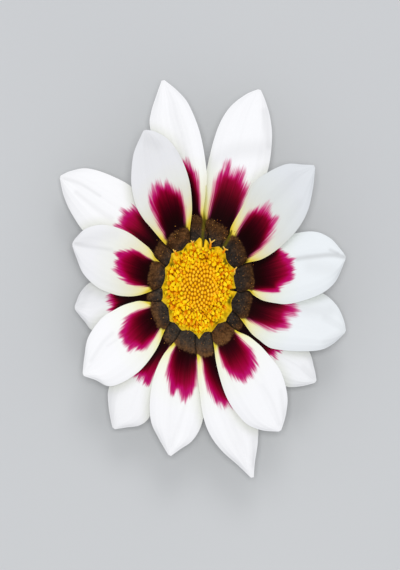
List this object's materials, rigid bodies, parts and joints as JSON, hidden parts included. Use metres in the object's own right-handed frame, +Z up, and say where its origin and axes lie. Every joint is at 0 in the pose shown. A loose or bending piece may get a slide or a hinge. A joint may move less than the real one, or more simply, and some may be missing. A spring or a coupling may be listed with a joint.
{
  "type": "gazania flower head",
  "caption": "Single picked daisy-like bloom: white rays with dark bases and crimson flames overlap round a domed yellow disc; it rests face up on its cut stalk.",
  "frame": {"origin": "middle of the stalk's cut end, which the head stands on", "axes": "+Z up, out of the face of the flower; +Y along the longer way across the head; +X along the shorter way across it"},
  "size_m": [0.0574, 0.0797, 0.0193],
  "materials": {
    "rays": "soft white petal, faintly silky, with a crimson to magenta flame and a dark velvety pad at the base",
    "disc": "waxy golden yellow florets",
    "bracts": "satin green, finely hairy",
    "stalk": "satin green stalk with a paler, moist cut face"
  },
  "bodies": {
    "root": {"stalk_and_receptacle": "stalk", "involucre": "bracts", "ray_floret_01": "rays", "ray_floret_02": "rays", "ray_floret_03": "rays", "ray_floret_04": "rays", "ray_floret_05": "rays", "ray_floret_06": "rays", "ray_floret_07": "rays", "ray_floret_08": "rays", "ray_floret_09": "rays", "ray_floret_10": "rays", "ray_floret_11": "rays", "ray_floret_12": "rays", "ray_floret_13": "rays", "ray_floret_14": "rays", "ray_floret_15": "rays", "disc_florets": "disc"}
  },
  "joints": []
}
